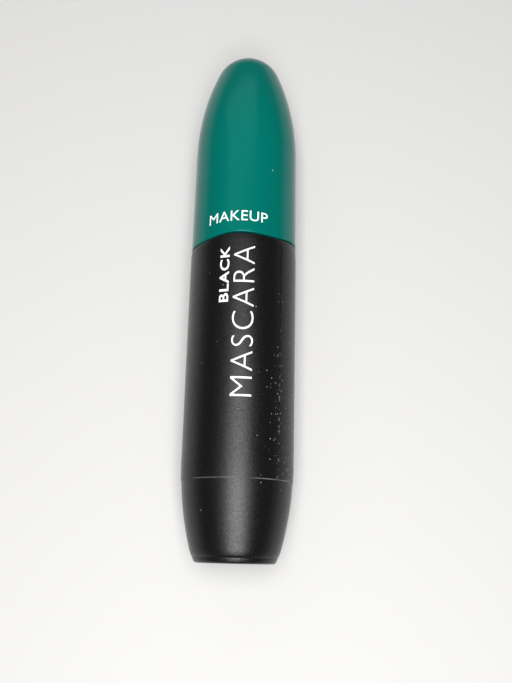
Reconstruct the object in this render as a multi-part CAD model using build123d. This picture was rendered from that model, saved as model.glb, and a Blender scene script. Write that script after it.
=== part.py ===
"""Mascara tube: a black bottle side and a green cap side, lying on its back.

The pieces are drawn upright, base at z = 0, tip at z = length and printed front
towards -Y. lay_down() then turns them so that the tip points along +Y and the
printed front looks up.
"""
from build123d import *
from math import acos, cos, pi, radians, sin, sqrt, tan
import os

# Whole tube
length = 120.0
body_radius = 12.0
axis_height = 12.08
clearance = 0.06

# Parting between bottle and cap: mean height, sideways tilt, four low waves
parting_height = 68.95
parting_tilt = 0.55
wave_height = 0.30
wave_count = 4
wave_crest = -10.0
parting_gap = 0.40

# Outer shell
shell_wall = 1.2
shell_floor = 1.8
taper_start = 20.5
taper_radius = 67.0
base_edge = 0.8
base_dish_radius = 6.0
base_dish_depth = 0.35

# Wrap label and base label
film = 0.08
label_bottom = 16.6
label_top = 67.4
seam_angle = 52.4
seam_width = 3.2
base_label_radius = 5.5

# Inner vial
vial_radius = 8.7
vial_bore = 7.7
vial_bottom = 2.6
vial_floor = 1.2
shoulder_bottom = 61.0
shoulder_top = 66.0
collar_radius = 10.45
collar_top = 71.0
neck_radius = 7.4
neck_bore = 5.6
neck_top = 81.2

# Thread: two starts, right-handed
thread_lead = 6.0
thread_depth = 0.92
thread_root = 1.65
thread_crest = 0.85
neck_thread_bottom = 73.4
neck_thread_turns = 0.95
cap_thread_bottom = 73.4
cap_thread_turns = 0.62
thread_gap = 0.32

# Wiper
wiper_flange = 0.8
wiper_wall = 0.7
wiper_bottom = 66.5
orifice_radius = 2.35

# Fill
fill_top = 58.0
fill_hole = 4.4

# Seal ring
seal_thickness = 0.8
seal_gap = 0.1

# Cap shell
cap_wall = 1.1
draft_angle = 0.28
nose_arc = 57.8
nose_tip = 8.1
shoulder_radius = 11.87

# Cap liner
liner_bottom = 72.0
liner_wall = 1.5
liner_web = 2.0
liner_top = 90.0
socket_radius = 3.6
rib_thickness = 1.2

# Wand
rod_radius = 2.15
rod_bottom = 37.0
rod_top = 95.0
crimp_depth = 7.0
wire_radius = 0.75
brush_bottom = 9.6
bristle_bottom = 10.6
bristle_top = 36.2
bristle_radius = 4.0


def lay_down(shape):
    """Turns an upright piece so that it lies on the floor, tip along +Y."""
    return Pos(0, -length / 2, axis_height) * Rot(-90, 0, 0) * shape


def spun(outline):
    """Turns a closed outline in the XZ plane about Z."""
    return revolve(make_face(outline), Axis.Z)


def tube(inner, outer, bottom, top):
    """A plain ring between two heights."""
    height = top - bottom
    ring = Circle(outer) - Circle(inner)
    return extrude(Pos(0, 0, bottom) * ring, height)


def rod(radius, bottom, top):
    """A plain round bar between two heights."""
    return extrude(Pos(0, 0, bottom) * Circle(radius), top - bottom)


def parting(angle):
    """Height of the parting at an angle in degrees, 0 at the front, + to the right."""
    tilt = parting_tilt * sin(radians(angle))
    wave = wave_height * cos(radians(wave_count * (angle - wave_crest)))
    return parting_height + tilt + wave


def parting_curve(radius, lift):
    """Closed wavy curve round the axis, one point every 15 degrees from the right side."""
    points = []
    for step in range(24):
        turn = 15.0 * step
        x = radius * cos(radians(turn))
        y = radius * sin(radians(turn))
        points.append((x, y, parting(turn + 90) + lift))
    return Spline(*points, periodic=True)


def below_parting(lift):
    """A thick ring whose top is the parting surface, used to trim both shells."""
    inner, outer, bottom = 4.0, 16.0, 60.0
    inner_edge = parting_curve(inner, lift)
    outer_edge = parting_curve(outer, lift)
    inner_base = Pos(0, 0, bottom) * Circle(inner).edge()
    outer_base = Pos(0, 0, bottom) * Circle(outer).edge()
    top = Face.make_surface_from_curves(inner_edge.edge(), outer_edge.edge())
    outer_wall = Face.make_surface_from_curves(outer_base, outer_edge.edge())
    inner_wall = Face.make_surface_from_curves(inner_base, inner_edge.edge())
    floor = Pos(0, 0, bottom) * (Circle(outer) - Circle(inner))
    return Solid(Shell([top, outer_wall, inner_wall, floor.face()])).fix()


def taper_line(inset, bottom, top):
    """Side of the bottle from a height in the taper up to the straight part."""
    arc_radius = taper_radius - inset
    centre = body_radius - taper_radius
    start = centre + sqrt(arc_radius ** 2 - (taper_start - bottom) ** 2)
    middle_height = (bottom + taper_start) / 2
    middle = centre + sqrt(arc_radius ** 2 - (taper_start - middle_height) ** 2)
    side = body_radius - inset
    arc = ThreePointArc((start, 0, bottom), (middle, 0, middle_height), (side, 0, taper_start))
    return arc + Line((side, 0, taper_start), (side, 0, top)), start


def outer_shell():
    """Black outer shell: straight sleeve, tapered closed base, wavy upper edge."""
    top = parting_height + 2.5
    side, base = taper_line(0, 0, top)
    outline = side + Polyline((body_radius, 0, top), (0, 0, top), (0, 0, 0), (base, 0, 0))
    outer = spun(outline)
    base_rim = outer.faces().sort_by(Axis.Z)[0].edges()
    outer = fillet(base_rim, base_edge)
    side, base = taper_line(shell_wall, shell_floor, top + 1)
    inside = side + Polyline(
        (body_radius - shell_wall, 0, top + 1), (0, 0, top + 1), (0, 0, shell_floor), (base, 0, shell_floor)
    )
    shell = outer - spun(inside)
    shell -= rod(base_dish_radius, -1, base_dish_depth)
    keep = below_parting(0) + rod(6, -1, 62) + rod(14, -1, 62)
    return shell & keep


def wrap_label():
    """Thin film round the shell, with its ends overlapped at the seam."""
    inside, low = taper_line(-0.01, label_bottom, label_top)
    outside, high = taper_line(-film, label_bottom, label_top)
    outline = inside + outside
    outline += Line((low, 0, label_bottom), (high, 0, label_bottom))
    outline += Line((body_radius + 0.01, 0, label_top), (body_radius + film, 0, label_top))
    film_ring = spun(outline)
    lap = tube(body_radius + film / 2, body_radius + 2 * film, taper_start, label_top)
    strip = Rot(0, 0, seam_angle) * Pos(0, -body_radius, 0) * Box(seam_width, 4, 3 * length)
    return film_ring + (lap & strip)


def base_label():
    """Round sticker in the dish of the base."""
    return rod(base_label_radius, base_dish_depth - film, base_dish_depth - 0.005)


def thread_ridge(root, crest, bottom, turns, start_angle):
    """One start of a thread: a trapezoid swept along a helix, root and crest radii given."""
    height = thread_lead * turns
    path = Pos(0, 0, bottom) * Helix(thread_lead, height, root)
    overlap = 0.15 if crest > root else -0.15
    half_root, half_crest = thread_root / 2, thread_crest / 2
    plane = Plane(origin=(root, 0, bottom), x_dir=(1, 0, 0), z_dir=(0, -1, 0))
    section = Polyline(
        (-overlap, -half_root), (0, -half_root), (crest - root, -half_crest),
        (crest - root, half_crest), (0, half_root), (-overlap, half_root), close=True
    )
    ridge = sweep(plane * make_face(section), path=path, is_frenet=True)
    return Rot(0, 0, start_angle) * ridge


def inner_vial():
    """Vial with a rounded bottom, a shoulder that holds the shell, a collar and a neck."""
    shell_bore = body_radius - shell_wall - clearance / 2
    outside = spun(Polyline(
        (0, 0, vial_bottom), (vial_radius - 2, 0, vial_bottom), (vial_radius, 0, vial_bottom + 3),
        (vial_radius, 0, shoulder_bottom - 1.5), (shell_bore, 0, shoulder_bottom),
        (shell_bore, 0, shoulder_top), (collar_radius, 0, shoulder_top), (collar_radius, 0, collar_top),
        (neck_radius, 0, collar_top), (neck_radius, 0, neck_top), (0, 0, neck_top), close=True
    ))
    floor = vial_bottom + vial_floor
    cavity = spun(Polyline(
        (0, 0, floor), (vial_bore - 2, 0, floor), (vial_bore, 0, floor + 3),
        (vial_bore, 0, shoulder_bottom), (neck_bore, 0, shoulder_bottom + 3),
        (neck_bore, 0, neck_top + 1), (0, 0, neck_top + 1), close=True
    ))
    vial = outside - cavity
    crest = neck_radius + thread_depth
    for start in (0, 180):
        vial += thread_ridge(neck_radius, crest, neck_thread_bottom, neck_thread_turns, start)
    return vial


def wiper():
    """Soft insert: flange on the neck, tube in the bore, cone down to the orifice."""
    tube_radius = neck_bore - 0.03
    flange_radius = neck_radius - 0.3
    top = neck_top + 0.02
    cone_top = wiper_bottom + 7
    outline = Polyline(
        (tube_radius, 0, top), (flange_radius, 0, top), (flange_radius, 0, top + wiper_flange),
        (tube_radius - wiper_wall, 0, top + wiper_flange), (tube_radius - wiper_wall, 0, cone_top),
        (orifice_radius, 0, wiper_bottom + 0.6), (orifice_radius, 0, wiper_bottom),
        (orifice_radius + wiper_wall, 0, wiper_bottom), (tube_radius, 0, cone_top), close=True
    )
    return spun(outline)


def mascara_fill():
    """The paste, with the hole that the wand leaves in it."""
    side = vial_bore - 0.03
    floor = vial_bottom + vial_floor + 0.03
    hole_bottom = brush_bottom - 1.2
    return spun(Polyline(
        (0, 0, floor), (side - 2, 0, floor), (side, 0, floor + 3), (side, 0, fill_top),
        (fill_hole, 0, fill_top - 1.5), (fill_hole, 0, hole_bottom + 2), (0, 0, hole_bottom), close=True
    ))


def seal_ring():
    """Soft washer between the wiper's flange and the cap's web."""
    bottom = neck_top + 0.02 + wiper_flange + seal_gap
    return tube(rod_radius + 0.2, neck_radius - 0.4, bottom, bottom + seal_thickness)


def cap_line(inset, bottom):
    """Side of the cap from its lower edge to the tip: draft, long arc, round nose."""
    long_arc = nose_arc - inset
    tip_arc = nose_tip - inset
    arc_centre = shoulder_radius - nose_arc
    turn = acos(-arc_centre / (nose_arc - nose_tip))
    rise = (nose_arc - nose_tip) * sin(turn)
    arc_height = length - nose_tip - rise

    def on_arc(angle):
        return (arc_centre + long_arc * cos(angle), 0, arc_height + long_arc * sin(angle))

    def on_tip(angle):
        return (tip_arc * cos(angle), 0, length - nose_tip + tip_arc * sin(angle))

    slope = radians(draft_angle)
    start = on_arc(slope)
    edge = (start[0] + (start[2] - bottom) * tan(slope), 0, bottom)
    top = (0, 0, length - inset)
    side = Line(edge, start)
    side += ThreePointArc(start, on_arc((slope + turn) / 2), on_arc(turn))
    side += ThreePointArc(on_tip(turn), on_tip((turn + pi / 2) / 2), top)
    return side, edge, top


def cap_shell():
    """Green bullet shell with a wavy lower edge."""
    bottom = parting_height - 2
    side, edge, top = cap_line(0, bottom)
    outer = spun(side + Polyline(top, (0, 0, bottom), edge))
    side, edge, top = cap_line(cap_wall, bottom - 1)
    inside = spun(side + Polyline(top, (0, 0, bottom - 1), edge))
    return outer - inside - below_parting(parting_gap)


def cap_liner():
    """Inner cap: threaded skirt, web, and a ribbed socket for the rod."""
    outer = shoulder_radius - cap_wall - 0.05
    bore = neck_radius + thread_depth + thread_gap
    web_bottom = neck_top + 0.02 + wiper_flange + 2 * seal_gap + seal_thickness
    web_top = web_bottom + liner_web
    skirt = tube(bore, outer, liner_bottom, web_bottom + 0.5)
    web = tube(rod_radius, outer, web_bottom, web_top)
    upper = tube(outer - liner_wall, outer, web_top - 0.5, liner_top)
    socket = tube(rod_radius, socket_radius, web_top - 0.5, rod_top - 1)
    liner = skirt + web + upper + socket
    rib_length = outer - liner_wall - socket_radius + 0.6
    rib_height = liner_top - 2 - web_top
    for turn in (45, 135, 225, 315):
        rib = Box(rib_length, rib_thickness, rib_height, align=(Align.MIN, Align.CENTER, Align.MIN))
        liner += Rot(0, 0, turn) * Pos(socket_radius - 0.3, 0, web_top - 0.2) * rib
    crest = neck_radius + thread_gap
    for start in (90, 270):
        liner += thread_ridge(bore, crest, cap_thread_bottom, cap_thread_turns, start)
    return liner


def wand_rod():
    """Stem, with a rounded lower end and a hole for the wire."""
    stem = rod(rod_radius - 0.02, rod_bottom, rod_top)
    stem = fillet(stem.edges().sort_by(Axis.Z)[0], 0.8)
    return stem - rod(wire_radius + 0.02, rod_bottom - 1, rod_bottom + crimp_depth)


def brush_wire():
    """Core wire of the brush, from the crimp in the rod to the brush's tip."""
    return rod(wire_radius, brush_bottom, rod_bottom + crimp_depth - 0.1)


def bristles():
    """Outer shape of the fibres: full for most of its length, narrowing to the tip."""
    hole = wire_radius + 0.02
    side = Line((hole, 0, bristle_bottom), (1.9, 0, bristle_bottom))
    side += Spline(
        (1.9, 0, bristle_bottom), (3.5, 0, 17.0), (bristle_radius, 0, 25.0), (3.7, 0, bristle_top),
        tangents=((0.5, 0, 1), (-0.1, 0, 1))
    )
    side += Polyline((3.7, 0, bristle_top), (hole, 0, bristle_top), (hole, 0, bristle_bottom))
    return spun(side)


pieces = {
    "outer_shell": outer_shell,
    "inner_vial": inner_vial,
    "wiper": wiper,
    "mascara_fill": mascara_fill,
    "wrap_label": wrap_label,
    "base_label": base_label,
    "seal_ring": seal_ring,
    "cap_shell": cap_shell,
    "cap_liner": cap_liner,
    "wand_rod": wand_rod,
    "brush_wire": brush_wire,
    "bristles": bristles,
}

os.makedirs("parts", exist_ok=True)
for name, build in pieces.items():
    piece = lay_down(build())
    piece.label = name
    export_step(piece, f"parts/{name}.step")
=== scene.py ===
"""A mascara tube lying on its back: black bottle, green cap, wand and brush inside.

Every piece is drawn upright in millimetres, base at z = 0 and printed front towards -Y,
and then laid down, tip along +Y, in metres.
"""
import bmesh
import bpy
import math
import random
from mathutils import Matrix, Vector, noise


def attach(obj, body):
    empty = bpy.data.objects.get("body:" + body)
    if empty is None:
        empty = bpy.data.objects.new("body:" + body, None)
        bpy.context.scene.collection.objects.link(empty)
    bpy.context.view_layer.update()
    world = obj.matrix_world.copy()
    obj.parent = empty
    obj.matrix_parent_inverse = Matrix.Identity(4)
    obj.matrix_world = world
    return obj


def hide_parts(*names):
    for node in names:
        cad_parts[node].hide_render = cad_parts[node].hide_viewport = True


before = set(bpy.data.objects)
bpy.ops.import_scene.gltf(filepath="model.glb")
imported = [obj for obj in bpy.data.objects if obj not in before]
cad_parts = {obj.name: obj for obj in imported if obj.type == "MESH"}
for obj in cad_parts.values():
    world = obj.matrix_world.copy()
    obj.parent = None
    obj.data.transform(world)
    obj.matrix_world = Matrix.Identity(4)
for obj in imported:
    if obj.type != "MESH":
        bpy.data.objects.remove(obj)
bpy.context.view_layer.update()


# ---- Outer shell ----------------------------------------------------------------------
# The black bottle that the hand holds, one moulding in polypropylene with a fine satin
# texture. Its base is drawn in to a narrow foot with a shallow groove just above it, and
# its upper edge waves round the tube.
tube_length = 120.0
axis_height = 12.08
shell_radius = 12.0
shell_wall = 1.2
shell_floor = 1.8
taper_start = 20.5
taper_radius = 67.0
foot_edge = 0.8
foot_turn = 65
foot_band_top = 2.3
dish_radius = 6.0
dish_depth = 0.35
parting_height = 68.95
edge_rounding = 0.15
label_foot = 16.6
lap_angle = 52.4
lap_half = 7.6
lie_down = (
    Matrix.Translation((0, -tube_length / 2000, axis_height / 1000))
    @ Matrix.Rotation(math.radians(-90), 4, "X")
    @ Matrix.Scale(0.001, 4)
)


def line_to(bm, vert, x, z):
    """Carries a profile on with a straight edge."""
    end = bm.verts.new((x, 0, z))
    bm.edges.new((vert, end))
    return end


def lines_to(bm, vert, corners):
    """Carries a profile on through several corners."""
    for x, z in corners:
        vert = line_to(bm, vert, x, z)
    return vert


def arc_to(bm, vert, x, z, turn, steps):
    """Carries a profile round a centre, anticlockwise for a positive turn in degrees."""
    swept = bmesh.ops.spin(
        bm, geom=[vert], cent=(x, 0, z), axis=(0, -1, 0),
        angle=math.radians(turn), steps=steps, use_duplicate=False,
    )
    return [part for part in swept["geom_last"] if isinstance(part, bmesh.types.BMVert)][0]


def turn_round(bm, steps=192):
    """Turns a profile once round the tube's axis and closes it."""
    bmesh.ops.spin(
        bm, geom=bm.verts[:] + bm.edges[:], cent=(0, 0, 0), axis=(0, 0, 1),
        angle=2 * math.pi, steps=steps, use_merge=True, use_duplicate=False,
    )
    bmesh.ops.remove_doubles(bm, verts=bm.verts, dist=0.002)
    bmesh.ops.recalc_face_normals(bm, faces=bm.faces)


def parting_wave(x, y):
    """How far the parting stands above or below its mean height, side tilt and waves."""
    angle = math.atan2(x, -y)
    return 0.55 * math.sin(angle) + 0.30 * math.cos(4 * (angle + math.radians(10)))


def wave_edge(bm, still, edge):
    """Bends an edge of a turned wall to the parting, fading out to a still height."""
    for vert in bm.verts:
        share = (vert.co.z - still) / (edge - still)
        if share > 0:
            vert.co.z += min(1, share) ** 2 * parting_wave(vert.co.x, vert.co.y)


def assemble(bm, name, material, body, nodes=(), sharp=35):
    """Lays a finished piece down in its place and fixes it to its body."""
    bmesh.ops.transform(bm, matrix=lie_down, verts=bm.verts)
    mesh = bpy.data.meshes.new(name)
    bm.to_mesh(mesh)
    bm.free()
    mesh.materials.append(material)
    mesh.shade_smooth()
    mesh.set_sharp_from_angle(angle=math.radians(sharp))
    piece = bpy.data.objects.new(name, mesh)
    bpy.context.scene.collection.objects.link(piece)
    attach(piece, body)
    if nodes:
        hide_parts(*nodes)
    return piece


def new_finish(name, colour, roughness, **sockets):
    """A material with its constant values on the shader's own sockets."""
    material = bpy.data.materials.new(name)
    material.use_nodes = True
    shader = material.node_tree.nodes["Principled BSDF"]
    shader.inputs["Base Color"].default_value = (*colour, 1)
    shader.inputs["Roughness"].default_value = roughness
    for socket, value in sockets.items():
        shader.inputs[socket.replace("_", " ")].default_value = value
    return material, shader


def add_node(material, kind, settings=None, **values):
    """Adds a node, sets its options, and sets or links its inputs by name or number."""
    node = material.node_tree.nodes.new("ShaderNode" + kind)
    for option, value in (settings or {}).items():
        setattr(node, option, value)
    for key, value in values.items():
        socket = node.inputs[int(key[1:])] if key[0] == "_" else node.inputs[key.replace("_", " ")]
        if isinstance(value, bpy.types.NodeSocket):
            material.node_tree.links.new(value, socket)
        else:
            socket.default_value = value
    return node


def vary(material, shader, **sockets):
    """Links what changes over the surface to the shader's sockets."""
    for socket, value in sockets.items():
        material.node_tree.links.new(value, shader.inputs[socket.replace("_", " ")])


def place_on(material):
    """The point on the piece, in metres, that the patterns read."""
    return add_node(material, "TexCoord").outputs["Object"]


def axes_of(material, place):
    """The point's X, Y and Z."""
    return add_node(material, "SeparateXYZ", None, Vector=place).outputs


def calc(material, operation, first, second=0.0, clamp=False):
    """One step of arithmetic between two values."""
    settings = {"operation": operation, "use_clamp": clamp}
    return add_node(material, "Math", settings, _0=first, _1=second).outputs[0]


def product(material, first, *others):
    """Several values multiplied together."""
    for other in others:
        first = calc(material, "MULTIPLY", first, other)
    return first


def ramp(material, value, low, high):
    """0 below low, 1 above high, smooth between; low may be the larger."""
    node = add_node(
        material, "MapRange", {"interpolation_type": "SMOOTHSTEP"},
        Value=value, From_Min=low, From_Max=high,
    )
    return node.outputs[0]


def noise_at(material, place, scale, detail=2.0, roughness=0.5):
    """Cloudy noise from 0 to 1, scale in ripples a metre."""
    node = add_node(
        material, "TexNoise", None, Vector=place, Scale=scale, Detail=detail, Roughness=roughness
    )
    return node.outputs["Factor"] if "Factor" in node.outputs else node.outputs[0]


def blend(material, share, first, second):
    """A colour between two others, by a share from 0 to 1."""
    node = add_node(material, "Mix", {"data_type": "RGBA"}, _0=share, _6=first, _7=second)
    return node.outputs[2]


def raised(material, height, strength, distance):
    """The surface's direction where a height raises it, distance in metres."""
    node = add_node(material, "Bump", None, Strength=strength, Distance=distance, Height=height)
    return node.outputs["Normal"]


def satin_black(name, roughness):
    """Satin black plastic with moulded grain, handling marks, and dust on its right and seams."""
    black = (0.0030, 0.0029, 0.0030)
    dust_grey = (0.36, 0.36, 0.35)
    material, shader = new_finish(name, black, roughness, Specular_IOR_Level=0.38)
    place = place_on(material)
    axes = axes_of(material, place)
    rise = calc(material, "SUBTRACT", axes["Z"], axis_height / 1000)
    angle = calc(material, "ARCTAN2", axes["X"], rise)
    along = calc(material, "ADD", axes["Y"], tube_length / 2000)

    def speckle(scale, size, chance):
        """Round specks in part of the cells, each with its own brightness."""
        cells = add_node(material, "TexVoronoi", None, Vector=place, Scale=scale)
        dot = ramp(material, cells.outputs["Distance"], size, size * 0.45)
        picks = add_node(material, "SeparateColor", None, Color=cells.outputs["Color"]).outputs
        chosen = calc(material, "LESS_THAN", picks[0], chance)
        bright = calc(material, "ADD", product(material, picks[1], 0.7), 0.3)
        return product(material, dot, chosen, bright)

    # Fine specks crowd on the right side, low on the label, and are rare elsewhere.
    right = product(material, ramp(material, angle, 0.25, 0.75), ramp(material, angle, 1.75, 1.15))
    low = ramp(material, along, 0.058, 0.030)
    high = ramp(material, along, 0.012, 0.019)
    crowd = product(material, right, low, high, 0.85)
    specks = speckle(1250.0, 0.20, calc(material, "ADD", crowd, 0.012))
    fluff = speckle(430.0, 0.070, 0.16)

    # A thin grey line shows in patches along the label's lower edge.
    patches = noise_at(material, place, 150.0, 1.0)
    edge = calc(material, "ABSOLUTE", calc(material, "SUBTRACT", along, label_foot / 1000))
    edge = ramp(material, edge, 0.00014, 0.00004)
    weight = calc(material, "ADD", product(material, right, 0.20), 0.20)
    edge = product(material, edge, ramp(material, patches, 0.40, 0.68), weight)

    crumbs = noise_at(material, place, 1700.0, 1.0)

    def dotted_line(turn, weight):
        """A broken line of fine dust along one edge of the lap."""
        line = calc(material, "ABSOLUTE", calc(material, "SUBTRACT", angle, math.radians(turn)))
        line = ramp(material, line, 0.020, 0.008)
        broken = ramp(material, crumbs, 0.54, 0.68)
        thinned = ramp(material, along, 0.068, 0.022)
        on_label = calc(material, "GREATER_THAN", along, label_foot / 1000)
        return product(material, line, broken, thinned, on_label, weight)

    near_line = dotted_line(lap_angle - lap_half, 0.34)
    far_line = dotted_line(lap_angle + lap_half, 0.26)
    dust = specks
    for layer in (fluff, edge, near_line, far_line):
        dust = calc(material, "MAXIMUM", dust, layer)

    # The moulded grain and faint smears change the gloss, and dust dulls it.
    grain = noise_at(material, place, 4200.0, 3.0, 0.8)
    coarse = product(material, calc(material, "SUBTRACT", grain, 0.5), 0.62)
    smear = calc(material, "SUBTRACT", noise_at(material, place, 55.0, 4.0), 0.5)
    smear = product(material, smear, 0.12)
    rough = calc(material, "ADD", calc(material, "ADD", coarse, smear), roughness)
    rough = calc(material, "ADD", rough, product(material, dust, 0.4), clamp=True)
    height = calc(material, "ADD", grain, product(material, dust, 0.8))
    vary(
        material, shader, Base_Color=blend(material, dust, (*black, 1), (*dust_grey, 1)),
        Roughness=rough, Normal=raised(material, height, 0.45, 0.00009),
    )
    return material


def side_x(z):
    """Radius of the taper at a height."""
    return shell_radius - taper_radius + math.sqrt(taper_radius ** 2 - (taper_start - z) ** 2)


shell_finish = satin_black("satin_black_plastic", 0.30)
shell = bmesh.new()
taper_centre = shell_radius - taper_radius
foot_x = taper_centre + math.sqrt((taper_radius - foot_edge) ** 2 - (taper_start - foot_edge) ** 2)
foot_arc_x = foot_x - 0.25
point = shell.verts.new((0, 0, dish_depth))
point = lines_to(shell, point, (
    (3.0, dish_depth), (dish_radius - 0.2, dish_depth), (dish_radius, 0.2), (dish_radius, 0.1),
    (dish_radius + 0.15, 0.0), (foot_arc_x, 0.0),
))
point = arc_to(shell, point, foot_arc_x, foot_edge, foot_turn, 7)
band_low = point.co.copy()
band_high = Vector((side_x(foot_band_top), 0, foot_band_top))
groove_depth = 0.06
groove = (
    (0.30, 0.0), (0.335, 0.25), (0.37, 1.0), (0.41, 1.0), (0.45, 0.0), (0.72, 0.0), (0.95, 0.0),
)
for share, depth in groove:
    place = band_low.lerp(band_high, share)
    point = line_to(shell, point, place.x - depth * groove_depth, place.z)
side_foot = 2.8
for height in (foot_band_top + 0.12, side_foot):
    point = line_to(shell, point, side_x(height), height)
side_turn = math.degrees(math.asin((taper_start - side_foot) / taper_radius))
point = arc_to(shell, point, taper_centre, taper_start, side_turn, 16)
for height in (28, 36, 44, 52, 58, 62, 64, 66, 67.5):
    point = line_to(shell, point, shell_radius, height)
rim_foot = parting_height - edge_rounding
bore = shell_radius - shell_wall
point = line_to(shell, point, shell_radius, rim_foot)
point = arc_to(shell, point, shell_radius - edge_rounding, rim_foot, 90, 3)
point = line_to(shell, point, bore + 0.1, parting_height)
point = line_to(shell, point, bore, parting_height - 0.1)
for height in (67, 64, 62, 40, taper_start):
    point = line_to(shell, point, bore, height)
inner_turn = math.degrees(math.asin((taper_start - shell_floor) / (taper_radius - shell_wall)))
point = arc_to(shell, point, taper_centre, taper_start, -inner_turn, 8)
line_to(shell, point, 0, shell_floor)
turn_round(shell)
wave_edge(shell, 62, rim_foot)
assemble(shell, "bottle_shell", shell_finish, "bottle", ["outer_shell"])


# ---- Wrap label -------------------------------------------------------------------------
# A thin satin film wound once round the shell and lapped over itself on the right. Dust
# sticks along its lower edge and along the lap, where the glue shows.
film = 0.08
label_head = 67.4
label_inside = shell_radius + 0.005
label_outside = shell_radius + film
lap_inside = label_outside - 0.01
lap_outside = shell_radius + 2 * film
lap_foot = label_foot + 2.6
label_finish = satin_black("label_film_black", 0.31)

label = bmesh.new()
label_turn = math.degrees(math.asin((taper_start - label_foot) / (taper_radius + film)))
lower_reach = math.sqrt((taper_radius + film) ** 2 - (taper_start - label_foot) ** 2)
start = label.verts.new((taper_centre + lower_reach, 0, label_foot))
point = arc_to(label, start, taper_centre, taper_start, label_turn, 5)
for height in (28, 36, 44, 52, 60, label_head):
    point = line_to(label, point, label_outside, height)
point = lines_to(label, point, (
    (label_inside, label_head), (label_inside, taper_start),
    (taper_centre + lower_reach - film + 0.005, label_foot),
))
label.edges.new((point, start))
turn_round(label)

# The lap is a second thickness of the film, slightly rippled.
lap = bmesh.new()
start = lap.verts.new((lap_inside, 0, lap_foot))
point = start
for height in (lap_foot, 28, 36, 44, 52, 60, label_head):
    point = line_to(lap, point, lap_outside, height)
point = line_to(lap, point, lap_inside, label_head)
lap.edges.new((point, start))
lap_start = Matrix.Rotation(math.radians(lap_angle - 90 - lap_half), 3, "Z")
bmesh.ops.rotate(lap, verts=lap.verts, matrix=lap_start)
bmesh.ops.spin(
    lap, geom=lap.verts[:] + lap.edges[:], cent=(0, 0, 0), axis=(0, 0, 1),
    angle=math.radians(2 * lap_half), steps=14, use_duplicate=False,
)
bmesh.ops.holes_fill(lap, edges=[edge for edge in lap.edges if edge.is_boundary], sides=0)
bmesh.ops.recalc_face_normals(lap, faces=lap.faces)
for vert in lap.verts:
    ripple = noise.noise(Vector((0.0, 3.0, vert.co.z * 0.35)))
    outward = Vector((vert.co.x, vert.co.y, 0)).normalized()
    if vert.co.xy.length > label_outside:
        vert.co += outward * 0.02 * max(0.0, ripple)
lap_mesh = bpy.data.meshes.new("lap")
lap.to_mesh(lap_mesh)
lap.free()
label.from_mesh(lap_mesh)
bpy.data.meshes.remove(lap_mesh)
assemble(label, "label_wrap", label_finish, "bottle", ["wrap_label"], sharp=25)


# ---- Print on the label ----------------------------------------------------------------
# Plain words screened in opaque white ink, read from the base towards the cap: the kind of
# product in thin tall letters, and its shade beside it in small bold ones.
def screened_white(name, tint):
    """Opaque matt ink, a little thin in places."""
    material, shader = new_finish(name, tint, 0.5, Specular_IOR_Level=0.3)
    cover = ramp(material, noise_at(material, place_on(material), 2600.0, 3.0), 0.18, 0.42)
    thin = tuple(0.72 * part for part in tint)
    vary(material, shader, Base_Color=blend(material, cover, (*thin, 1), (*tint, 1)))
    return material


def set_type(words, size, weight, spacing):
    """Letters as a thin flat solid."""
    curve = bpy.data.curves.new(words, "FONT")
    curve.body = words
    curve.size = size
    curve.offset = weight
    curve.extrude = 0.012
    curve.space_character = spacing
    curve.resolution_u = 5
    lettering = bpy.data.objects.new(words, curve)
    bpy.context.scene.collection.objects.link(lettering)
    bpy.context.view_layer.update()
    graph = bpy.context.evaluated_depsgraph_get()
    mesh = bpy.data.meshes.new_from_object(lettering.evaluated_get(graph))
    bpy.data.objects.remove(lettering)
    bpy.data.curves.remove(curve)
    bm = bmesh.new()
    bm.from_mesh(mesh)
    bpy.data.meshes.remove(mesh)
    bmesh.ops.remove_doubles(bm, verts=bm.verts, dist=0.0005)
    return bm


def cut_bands(bm, direction, low, high, step):
    """Cuts a flat solid across a direction at even steps, so that it can bend."""
    place = low
    while place < high:
        bmesh.ops.bisect_plane(
            bm, geom=bm.verts[:] + bm.edges[:] + bm.faces[:],
            plane_co=Vector(direction) * place, plane_no=direction,
        )
        place += step


ink = screened_white("white_ink", (0.86, 0.86, 0.85))
ink_lift = 0.014
print_radius = label_outside + ink_lift
for name, words, size, weight, spacing, foot, head, base_angle in (
    ("print_product", "MASCARA", 6.9, -0.13, 1.12, 33.0, 66.2, 13.2),
    ("print_shade", "BLACK", 2.9, 0.05, 1.10, 53.4, 66.0, -13.6),
):
    letters = set_type(words, size, weight, spacing)
    cut_bands(letters, (0, 1, 0), 0.3, size, 0.5)
    left = min(vert.co.x for vert in letters.verts)
    right = max(vert.co.x for vert in letters.verts)
    for vert in letters.verts:
        angle = math.radians(base_angle) - vert.co.y / print_radius
        reach = print_radius + vert.co.z
        height = foot + (vert.co.x - left) * (head - foot) / (right - left)
        vert.co = (reach * math.sin(angle), -reach * math.cos(angle), height)
    assemble(letters, name, ink, "bottle")


# ---- Vial ---------------------------------------------------------------------------------
# The inner bottle that holds the product, black polypropylene. Its shoulder plugs the shell,
# its collar centres the cap, and its neck has a two-start thread.
vial_radius = 8.7
vial_bore = 7.7
shoulder_radius = 10.77
collar_radius = 10.45
collar_top = 71.0
neck_radius = 7.4
neck_bore = 5.6
neck_top = 81.2
thread_lead = 6.0
thread_foot = 73.4


def smooth_black(name, roughness):
    """Plain black moulded plastic with faint flow marks."""
    material, shader = new_finish(name, (0.012, 0.012, 0.0125), roughness)
    flow = noise_at(material, place_on(material), 420.0, 3.0)
    rough = calc(material, "ADD", product(material, flow, 0.14), roughness - 0.07)
    vary(material, shader, Roughness=rough, Normal=raised(material, flow, 0.2, 0.00003))
    return material


def outline(bm, corners, closed=False):
    """Draws a profile of straight edges."""
    x, z = corners[0]
    start = bm.verts.new((x, 0, z))
    end = lines_to(bm, start, corners[1:])
    if closed:
        bm.edges.new((end, start))


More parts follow.
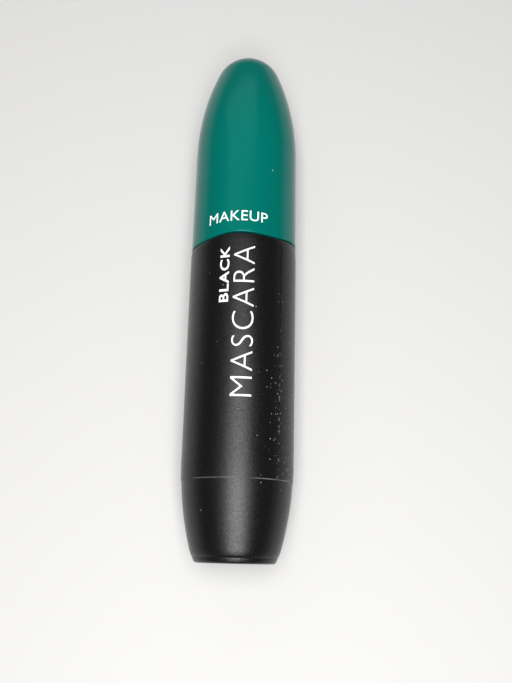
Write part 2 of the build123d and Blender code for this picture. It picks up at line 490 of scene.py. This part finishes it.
def add_thread(bm, root, crest, turns, start, bury):
    """Adds one start of the thread: a trapezoid carried up a helix, thinned at both ends."""
    half_root = 0.825
    half_crest = 0.425
    steps = int(60 * turns)
    profile = (
        (root + bury, -half_root), (crest, -half_crest),
        (crest, half_crest), (root + bury, half_root),
    )
    corners = [bm.verts.new((x, 0, thread_foot + side)) for x, side in profile]
    edges = [bm.edges.new((corners[i], corners[(i + 1) % 4])) for i in range(4)]
    bmesh.ops.rotate(bm, verts=corners, matrix=Matrix.Rotation(math.radians(start), 3, "Z"))
    before = len(bm.verts) - 4
    bmesh.ops.spin(
        bm, geom=corners + edges, cent=(0, 0, 0), axis=(0, 0, 1), angle=2 * math.pi * turns,
        dvec=(0, 0, thread_lead * turns / steps), steps=steps, use_duplicate=False,
    )
    bm.verts.ensure_lookup_table()
    for index, vert in enumerate(bm.verts[before:]):
        ring = index // 4
        fade = min(1.0, (min(ring, steps - ring) + 0.5) / 6)
        if index % 4 in (1, 2):
            flat = vert.co.xy.length
            vert.co.xy *= (root + (flat - root) * fade) / flat
    bmesh.ops.holes_fill(bm, edges=[edge for edge in bm.edges if edge.is_boundary], sides=0)


vial_finish = smooth_black("vial_black_plastic", 0.28)
vial = bmesh.new()
outline(vial, (
    (0, 2.6), (6.7, 2.6), (vial_radius, 5.6), (vial_radius, 59.5), (shoulder_radius, 61.0),
    (shoulder_radius, 65.9), (10.65, 66.0), (collar_radius, 66.0), (collar_radius, 70.7),
    (10.15, collar_top), (7.6, collar_top), (neck_radius, 71.2), (neck_radius, 80.9),
    (7.1, neck_top), (5.8, neck_top), (neck_bore, 81.0), (neck_bore, 64.0), (vial_bore, 61.0),
    (vial_bore, 6.8), (5.7, 3.8), (0, 3.8),
))
turn_round(vial, 128)
for start in (0, 180):
    add_thread(vial, neck_radius, neck_radius + 0.92, 0.95, start, -0.1)
bmesh.ops.recalc_face_normals(vial, faces=vial.faces)
assemble(vial, "vial", vial_finish, "bottle", ["inner_vial"])


# ---- Wiper ----------------------------------------------------------------------------------
# A soft pale insert pushed into the neck. Its lip strips the rod, and its rim is smeared
# with what it wiped off.
def smeared_pale(name):
    """Milky soft plastic, blackened with product inside and in thin smears on its rim."""
    milky = (0.62, 0.62, 0.60)
    product_black = (0.006, 0.006, 0.007)
    material, shader = new_finish(
        name, milky, 0.42, Subsurface_Weight=0.15, Subsurface_Scale=0.002
    )
    place = place_on(material)
    axes = axes_of(material, place)
    rise = calc(material, "SUBTRACT", axes["Z"], axis_height / 1000)
    across = product(material, axes["X"], axes["X"])
    up = product(material, rise, rise)
    off_axis = calc(material, "SQRT", calc(material, "ADD", across, up))
    drift = calc(material, "SUBTRACT", noise_at(material, place, 420.0, 4.0), 0.5)
    drift = product(material, drift, 0.0042)
    smear = ramp(material, calc(material, "ADD", off_axis, drift), 0.0060, 0.0053)
    vary(
        material, shader, Base_Color=blend(material, smear, (*milky, 1), (*product_black, 1)),
        Roughness=calc(material, "SUBTRACT", 0.42, product(material, smear, 0.22)),
    )
    return material


wiper = bmesh.new()
wiper_top = 82.02
orifice_radius = 2.35
lip_foot = 66.5
outline(wiper, (
    (5.57, 81.22), (7.0, 81.22), (7.1, 81.32), (7.1, 81.85), (6.95, wiper_top),
    (5.15, wiper_top), (4.87, 81.8), (4.87, 74.0), (2.5, 67.5), (orifice_radius, 67.1),
    (orifice_radius, 66.7), (2.5, lip_foot), (2.95, lip_foot), (3.1, 66.7), (5.57, 73.4),
), closed=True)
turn_round(wiper, 96)
assemble(wiper, "wiper_insert", smeared_pale("wiper_pale_plastic"), "bottle", ["wiper"])


# ---- Mascara ---------------------------------------------------------------------------------
# The thick black paste that the vial is filled with, uneven on top where the brush drags it.
# It is drawn with a straight well down its middle, where the brush stands.
def wet_paste(name):
    """Thick wet black paste."""
    material, shader = new_finish(
        name, (0.004, 0.004, 0.0045), 0.22, Coat_Weight=0.4, Coat_Roughness=0.1
    )
    lumps = noise_at(material, place_on(material), 900.0, 4.0)
    vary(material, shader, Normal=raised(material, lumps, 0.6, 0.0001))
    return material


paste_finish = wet_paste("mascara_paste_wet")
paste = bmesh.new()
well_radius = 4.4
outline(paste, (
    (0, 3.83), (5.67, 3.83), (7.67, 6.83), (7.67, 57.4), (7.2, 57.7), (6.4, 57.6), (5.4, 57.0),
    (4.6, 56.3), (well_radius, 54.0), (well_radius, 10.4), (2.5, 9.0), (0, 8.4),
))
turn_round(paste, 72)
for vert in paste.verts:
    if vert.co.z > 55 and vert.co.xy.length < 7.6:
        vert.co.z += 0.25 * noise.noise(vert.co * 0.8)
assemble(paste, "mascara_paste", paste_finish, "bottle", ["mascara_fill"], sharp=80)


# ---- Base label -------------------------------------------------------------------------------
# A round paper sticker in the dish of the base, printed with a bar of the shade inside and a
# plain batch number.
sticker_radius = 5.5
sticker_foot = 0.27


def printed_paper(name):
    """White paper with a black shade bar across its lower half."""
    material, shader = new_finish(name, (0.8, 0.8, 0.78), 0.6)
    place = place_on(material)
    height = axes_of(material, place)["Z"]
    bar_top = 0.01125
    bar_foot = 0.00895
    blur = 0.00003
    below_top = ramp(material, height, bar_top + blur, bar_top - blur)
    above_foot = ramp(material, height, bar_foot - blur, bar_foot + blur)
    bar = product(material, below_top, above_foot)
    fibre = ramp(material, noise_at(material, place, 3500.0, 3.0), 0.2, 0.7)
    paper = blend(material, fibre, (0.74, 0.74, 0.71, 1), (0.82, 0.82, 0.80, 1))
    vary(material, shader, Base_Color=blend(material, bar, paper, (0.015, 0.015, 0.016, 1)))
    return material


sticker = bmesh.new()
outline(sticker, (
    (0, sticker_foot), (2.5, sticker_foot), (5.4, sticker_foot), (sticker_radius, 0.3),
    (sticker_radius, 0.345), (0, 0.345),
))
turn_round(sticker, 96)
assemble(sticker, "base_sticker", printed_paper("printed_paper"), "bottle", ["base_label"])
number = set_type("018", 3.2, 0.0, 1.15)
middle = sum((vert.co.x for vert in number.verts), 0.0) / len(number.verts)
for vert in number.verts:
    vert.co = (vert.co.x - middle, -vert.co.y - 0.6, sticker_foot - 0.008 - vert.co.z)
bmesh.ops.recalc_face_normals(number, faces=number.faces)
assemble(number, "print_batch", smooth_black("black_ink", 0.5), "bottle")


# ---- Seal ring --------------------------------------------------------------------------------
# A soft washer of closed-cell foam, loose round the rod. It lies under the web of the inner
# cap and closes on the neck when the cap is screwed down.
def soft_foam(name):
    """Fine closed-cell foam, stained in places."""
    foam = (0.7, 0.7, 0.67)
    material, shader = new_finish(name, foam, 0.7)
    place = place_on(material)
    cells = add_node(material, "TexVoronoi", None, Vector=place, Scale=4200.0).outputs["Distance"]
    stain = ramp(material, noise_at(material, place, 260.0, 3.0), 0.55, 0.66)
    vary(
        material, shader, Base_Color=blend(material, stain, (*foam, 1), (0.10, 0.10, 0.10, 1)),
        Normal=raised(material, cells, 0.5, 0.00006),
    )
    return material


seal = bmesh.new()
seal_radius = 7.0
seal_hole = 2.35
seal_foot = 82.12
seal_head = 82.92
seal_chamfer = 0.1
outline(seal, (
    (seal_hole + seal_chamfer, seal_foot), (seal_radius - seal_chamfer, seal_foot),
    (seal_radius, seal_foot + seal_chamfer), (seal_radius, seal_head - seal_chamfer),
    (seal_radius - seal_chamfer, seal_head), (seal_hole + seal_chamfer, seal_head),
    (seal_hole, seal_head - seal_chamfer), (seal_hole, seal_foot + seal_chamfer),
), closed=True)
turn_round(seal, 96)
assemble(seal, "foam_seal", soft_foam("seal_foam_pale"), "seal", ["seal_ring"])


# ---- Cap shell ----------------------------------------------------------------------------------
# The green bullet, a thick glossy moulding with a slight draft. Its lower edge waves to match
# the bottle.
cap_wall = 1.1
cap_gap = 0.4
cap_rounding = 0.22
draft = 0.28
nose_radius = 11.87
nose_arc = 57.8
nose_tip = 8.1


def gloss_green(name):
    """Deep glossy green plastic with a soft ripple, hairline scratches and specks of dust."""
    material, shader = new_finish(
        name, (0.0, 0.118, 0.096), 0.21, Specular_IOR_Level=0.30, Specular_Tint=(0.25, 1.0, 0.88, 1.0)
    )
    place = place_on(material)
    cells = add_node(material, "TexVoronoi", None, Vector=place, Scale=330.0).outputs
    pick = add_node(material, "SeparateColor", None, Color=cells["Color"]).outputs[0]
    dot = ramp(material, cells["Distance"], 0.060, 0.03)
    specks = product(material, dot, calc(material, "LESS_THAN", pick, 0.05), 0.6)
    depth = noise_at(material, place, 40.0, 2.0)
    green = blend(material, depth, (0.0, 0.112, 0.090, 1), (0.0, 0.125, 0.102, 1))
    smear = noise_at(material, place, 90.0, 5.0)
    stretched = add_node(material, "Mapping", None, Vector=place, Scale=(1.0, 0.06, 1.0)).outputs[0]
    hairs = ramp(material, noise_at(material, stretched, 5200.0, 2.0), 0.70, 0.78)
    ripple = product(material, noise_at(material, place, 260.0, 2.0), 0.6)
    height = calc(material, "SUBTRACT", ripple, product(material, hairs, 0.2))
    vary(
        material, shader, Base_Color=blend(material, specks, green, (0.6, 0.65, 0.62, 1)),
        Roughness=calc(material, "ADD", product(material, smear, 0.08), 0.17),
        Normal=raised(material, height, 0.12, 0.00006),
    )
    return material


cap_finish = gloss_green("gloss_green_plastic")
cap = bmesh.new()
arc_centre = nose_radius - nose_arc
nose_turn = math.degrees(math.acos(-arc_centre / (nose_arc - nose_tip)))
nose_height = tube_length - nose_tip
arc_height = nose_height - (nose_arc - nose_tip) * math.sin(math.radians(nose_turn))
slope = math.tan(math.radians(draft))
arc_x = arc_centre + nose_arc * math.cos(math.radians(draft))
arc_z = arc_height + nose_arc * math.sin(math.radians(draft))
cap_foot = parting_height + cap_gap
edge_x = arc_x + slope * (arc_z - cap_foot)
cap_bore = edge_x - cap_wall
start = cap.verts.new((cap_bore, 0, cap_foot + 6))
point = lines_to(cap, start, (
    (cap_bore, cap_foot + 3), (cap_bore, cap_foot + 0.12), (cap_bore + 0.12, cap_foot),
    (edge_x - cap_rounding, cap_foot),
))
point = arc_to(cap, point, edge_x - cap_rounding, cap_foot + cap_rounding, 90 + draft, 4)
for height in (cap_foot + 1, cap_foot + 2, cap_foot + 3.5, cap_foot + 5, cap_foot + 7, 80, 84, 88):
    point = line_to(cap, point, arc_x + slope * (arc_z - height), height)
point = line_to(cap, point, arc_x, arc_z)
point = arc_to(cap, point, arc_centre, arc_height, nose_turn - draft, 28)
arc_to(cap, point, 0, nose_height, 90 - nose_turn, 20)
inner_top = cap.verts.new((0, 0, tube_length - cap_wall))
point = arc_to(cap, inner_top, 0, nose_height, nose_turn - 90, 10)
point = arc_to(cap, point, arc_centre, arc_height, draft - nose_turn, 12)
cap.edges.new((point, start))
turn_round(cap)
wave_edge(cap, cap_foot + 7, cap_foot)
assemble(cap, "cap_bullet", cap_finish, "cap_and_wand", ["cap_shell"])


# ---- Print on the cap ---------------------------------------------------------------------------
# One plain word screened in white ink on the bullet. It is set on an arch that follows the
# parting below it.
cap_ink = screened_white("white_ink_cap", (0.80, 0.90, 0.88))
arch_height = 72.15
arch_radius = arc_x + slope * (arc_z - 73) + ink_lift
arch_spread = math.radians(65)
arch_middle = math.radians(-6.5)
letters = set_type("MAKEUP", 3.45, 0.0, 1.05)
cut_bands(letters, (1, 0, 0), 0.3, 22.0, 0.4)
left = min(vert.co.x for vert in letters.verts)
right = max(vert.co.x for vert in letters.verts)
for vert in letters.verts:
    angle = arch_middle + arch_spread * ((vert.co.x - left) / (right - left) - 0.5)
    reach = arch_radius + vert.co.z
    base = arch_height - 0.9 * (angle + math.radians(2)) ** 2
    vert.co = (reach * math.sin(angle), -reach * math.cos(angle), base + vert.co.y)
assemble(letters, "print_cap", cap_ink, "cap_and_wand")


# ---- Cap liner ------------------------------------------------------------------------------------
# The black inner cap glued in the bullet: a threaded skirt, a web over the neck, and a ribbed
# socket that the wand's rod is pressed into.
liner_finish = smooth_black("liner_black_plastic", 0.32)
liner_radius = 10.72
liner_bore = 8.64
liner_top = 90.0
web_foot = 83.02
web_top = 85.02
socket_radius = 3.6
socket_bore = 2.15
socket_top = 94.0
liner = bmesh.new()
outline(liner, (
    (liner_bore, 72.3), (8.95, 72.0), (10.57, 72.0), (liner_radius, 72.15),
    (liner_radius, liner_top), (9.2, liner_top), (9.2, web_top), (socket_radius, web_top),
    (socket_radius, 93.8), (3.4, socket_top), (socket_bore, socket_top),
    (socket_bore, web_foot), (liner_bore, web_foot),
), closed=True)
turn_round(liner, 128)
for start in (90, 270):
    add_thread(liner, liner_bore, neck_radius + 0.32, 0.62, start, 0.1)
for turn in (45, 135, 225, 315):
    rib = (
        Matrix.Rotation(math.radians(turn), 4, "Z") @ Matrix.Translation((6.4, 0, 86.5))
        @ Matrix.Diagonal((5.8, 1.2, 3.0, 1))
    )
    bmesh.ops.create_cube(liner, size=1, matrix=rib)
bmesh.ops.recalc_face_normals(liner, faces=liner.faces)
assemble(liner, "inner_cap", liner_finish, "cap_and_wand", ["cap_liner"])


# ---- Wand rod --------------------------------------------------------------------------------------
# A black moulded stem with a rounded foot, pressed into the liner. The wire is crimped into
# its lower end, and the wiper leaves a thin film of product on it.
rod_radius = 2.13
rod_foot = 37.0
rod_top = 95.0
rod_rounding = 0.8
wire_hole = 0.77
wire_hole_top = 44.0


def coated_rod(name):
    """Black plastic under streaks of wet product."""
    material, shader = new_finish(name, (0.01, 0.01, 0.0105), 0.3)
    place = place_on(material)
    drawn = add_node(material, "Mapping", None, Vector=place, Scale=(1.0, 0.25, 1.0)).outputs[0]
    streaks = noise_at(material, drawn, 1400.0, 4.0)
    rough = calc(material, "ADD", product(material, ramp(material, streaks, 0.45, 0.6), 0.3), 0.15)
    vary(material, shader, Roughness=rough, Normal=raised(material, streaks, 0.5, 0.00008))
    return material


rod = bmesh.new()
start = rod.verts.new((wire_hole, 0, rod_foot + 0.1))
point = line_to(rod, start, wire_hole + 0.1, rod_foot)
point = line_to(rod, point, rod_radius - rod_rounding, rod_foot)
point = arc_to(rod, point, rod_radius - rod_rounding, rod_foot + rod_rounding, 90, 6)
point = lines_to(rod, point, (
    (rod_radius, 45), (rod_radius, 55), (rod_radius, 65), (rod_radius, 75),
    (rod_radius, rod_top - 0.2), (rod_radius - 0.18, rod_top), (0, rod_top),
    (0, wire_hole_top), (wire_hole, wire_hole_top),
))
rod.edges.new((point, start))
turn_round(rod, 64)
assemble(rod, "wand_stem", coated_rod("rod_coated_black"), "cap_and_wand", ["wand_rod"])


# ---- Brush wire --------------------------------------------------------------------------------------
# Two legs of stainless wire twisted together, which hold the fibres between them. The cut
# ends show at the tip of the brush.
wire_radius = 0.38
wire_spread = 0.36
twist_pitch = 2.3
wire_foot = 9.7
wire_head = 43.8


def wire_steel(name):
    """Drawn stainless wire with product left in its twist."""
    steel = (0.5, 0.5, 0.5)
    material, shader = new_finish(name, steel, 0.3, Metallic=1.0)
    left_on = ramp(material, noise_at(material, place_on(material), 700.0, 3.0), 0.42, 0.55)
    vary(material, shader, Base_Color=blend(material, left_on, (*steel, 1), (0.02, 0.02, 0.02, 1)))
    return material


twists = (wire_head - wire_foot) / twist_pitch
twist_steps = int(twists * 14)
wire = bmesh.new()
for start in (0, 180):
    end_ring = bmesh.ops.create_circle(
        wire, cap_ends=False, segments=8, radius=wire_radius,
        matrix=Matrix.Translation((wire_spread, 0, wire_foot)) @ Matrix.Rotation(math.radians(35), 4, "X"),
    )["verts"]
    bmesh.ops.rotate(wire, verts=end_ring, matrix=Matrix.Rotation(math.radians(start), 3, "Z"))
    loop = list({edge for vert in end_ring for edge in vert.link_edges})
    bmesh.ops.spin(
        wire, geom=end_ring + loop, cent=(0, 0, 0), axis=(0, 0, 1), angle=2 * math.pi * twists,
        dvec=(0, 0, (wire_head - wire_foot) / twist_steps), steps=twist_steps, use_duplicate=False,
    )
    bmesh.ops.holes_fill(wire, edges=[edge for edge in wire.edges if edge.is_boundary], sides=0)
bmesh.ops.recalc_face_normals(wire, faces=wire.faces)
assemble(wire, "brush_twist", wire_steel("wire_steel_drawn"), "cap_and_wand", ["brush_wire"])


# ---- Bristles ------------------------------------------------------------------------------------------
# Nylon fibres caught between the two legs of the wire, so that they stand out in two spirals.
# They are trimmed to a spindle and loaded with product.
brush_foot = 10.9
brush_head = 36.0
brush_tip_radius = 1.9
brush_full_radius = 4.0
fibre_count = 1700
fibre_foot_radius = 0.062
fibre_tip_radius = 0.03


def loaded_nylon(name):
    """Black nylon, glossier where product clings to it."""
    material, shader = new_finish(
        name, (0.008, 0.008, 0.0085), 0.3, Coat_Weight=0.3, Coat_Roughness=0.2
    )
    load = ramp(material, noise_at(material, place_on(material), 800.0, 3.0), 0.4, 0.6)
    vary(material, shader, Roughness=calc(material, "SUBTRACT", 0.5, product(material, load, 0.3)))
    return material


def trim_radius(height):
    """Radius that the brush is trimmed to at a height: narrow tip, full middle, drawn-in top."""
    share = (height - brush_foot) / (brush_head - brush_foot)
    widening = math.sin(min(1.0, share / 0.55) * math.pi / 2)
    drawn_in = 0.35 * max(0.0, share - 0.6)
    return brush_tip_radius + (brush_full_radius - brush_tip_radius) * widening - drawn_in


random.seed(7)
fibre_finish = loaded_nylon("bristle_nylon_black")
fibres = bmesh.new()
for count in range(fibre_count):
    height = brush_foot + (brush_head - brush_foot) * count / (fibre_count - 1)
    turn = 2 * math.pi * (height - wire_foot) / twist_pitch + math.pi / 2
    turn += math.pi * (count % 2) + random.gauss(0, 0.16)
    reach = trim_radius(height) * random.uniform(0.94, 1.0)
    lean = random.gauss(0, 4.5)
    where = (
        Matrix.Translation((0, 0, height)) @ Matrix.Rotation(turn, 4, "Z")
        @ Matrix.Rotation(math.radians(90 + lean), 4, "Y") @ Matrix.Translation((0, 0, reach / 2 + 0.1))
    )
    bmesh.ops.create_cone(
        fibres, cap_ends=True, segments=5, radius1=fibre_foot_radius, radius2=fibre_tip_radius,
        depth=reach - 0.2, matrix=where,
    )
assemble(fibres, "brush_fibres", fibre_finish, "cap_and_wand", ["bristles"], sharp=60)

# Product caught round the wire, lumpy between the fibres.
load = bmesh.new()
point = load.verts.new((0, 0, brush_foot - 0.6))
for step in range(44):
    height = brush_foot - 0.3 + step * 0.58
    point = line_to(load, point, 0.35 * trim_radius(height) + 0.1 * (step % 2), height)
line_to(load, point, 0, brush_head + 0.1)
turn_round(load, 32)
for vert in load.verts:
    swell = 1 + 0.45 * noise.noise(vert.co * 1.3) + 0.2 * noise.noise(vert.co * 3.1)
    vert.co.x *= swell
    vert.co.y *= swell
assemble(load, "brush_paste", paste_finish, "cap_and_wand", sharp=180)


# ---- Table, lights and camera -----------------------------------------------------------------------------
# A pale table, a softbox above and behind the base of the tube, dimmer panels beyond the cap
# and over the left side, and a view from above the base, looking steeply down.
def matt_table(name):
    """Pale matt laminate with a faint texture."""
    material, shader = new_finish(name, (0.52, 0.515, 0.51), 0.6)
    texture = noise_at(material, place_on(material), 600.0)
    vary(material, shader, Normal=raised(material, texture, 0.1, 0.0002))
    return material


table_bm = bmesh.new()
bmesh.ops.create_grid(table_bm, x_segments=8, y_segments=8, size=3.0)
table_mesh = bpy.data.meshes.new("table_top")
table_bm.to_mesh(table_mesh)
table_bm.free()
table_mesh.materials.append(matt_table("pale_table"))
table_top = bpy.data.objects.new("table_top", table_mesh)
bpy.context.scene.collection.objects.link(table_top)

world = bpy.data.worlds.new("studio")
world.use_nodes = True
surroundings = world.node_tree.nodes["Background"]
surroundings.inputs["Color"].default_value = (1.0, 1.0, 1.0, 1)
surroundings.inputs["Strength"].default_value = 0.08
bpy.context.scene.world = world
for name, place, aim, width, depth, power in (
    ("softbox_over_base", (0.012, -0.174, 0.503), (0, -0.045, 0.02), 0.25, 0.58, 5.1),
    ("panel_beyond_cap", (-0.10, 0.46, 0.42), (0, 0.03, 0.01), 0.60, 0.45, 0.55),
    ("panel_on_left", (-0.27, -0.05, 0.65), (-0.27, -0.05, 0.0), 1.20, 1.30, 0.5),
):
    light = bpy.data.lights.new(name, "AREA")
    light.shape = "RECTANGLE"
    light.size = width
    light.size_y = depth
    light.energy = power
    lamp = bpy.data.objects.new(name, light)
    lamp.location = place
    lamp.rotation_mode = "QUATERNION"
    lamp.rotation_quaternion = (Vector(aim) - Vector(place)).to_track_quat("-Z", "Y")
    bpy.context.scene.collection.objects.link(lamp)

eye = bpy.data.cameras.new("camera_above")
eye.sensor_width = 36.0
eye.lens = 40.2694
eye.clip_start = 0.005
camera = bpy.data.objects.new("camera_above", eye)
camera.matrix_world = (
    Matrix.Translation((0.00352, -0.05837, 0.17756))
    @ Matrix.Rotation(math.radians(0.23), 4, "Z")
    @ Matrix.Rotation(math.radians(15.67), 4, "X")
    @ Matrix.Rotation(math.radians(1.15), 4, "Z")
)
bpy.context.scene.collection.objects.link(camera)
bpy.context.scene.camera = camera
bpy.context.scene.view_settings.view_transform = "Standard"
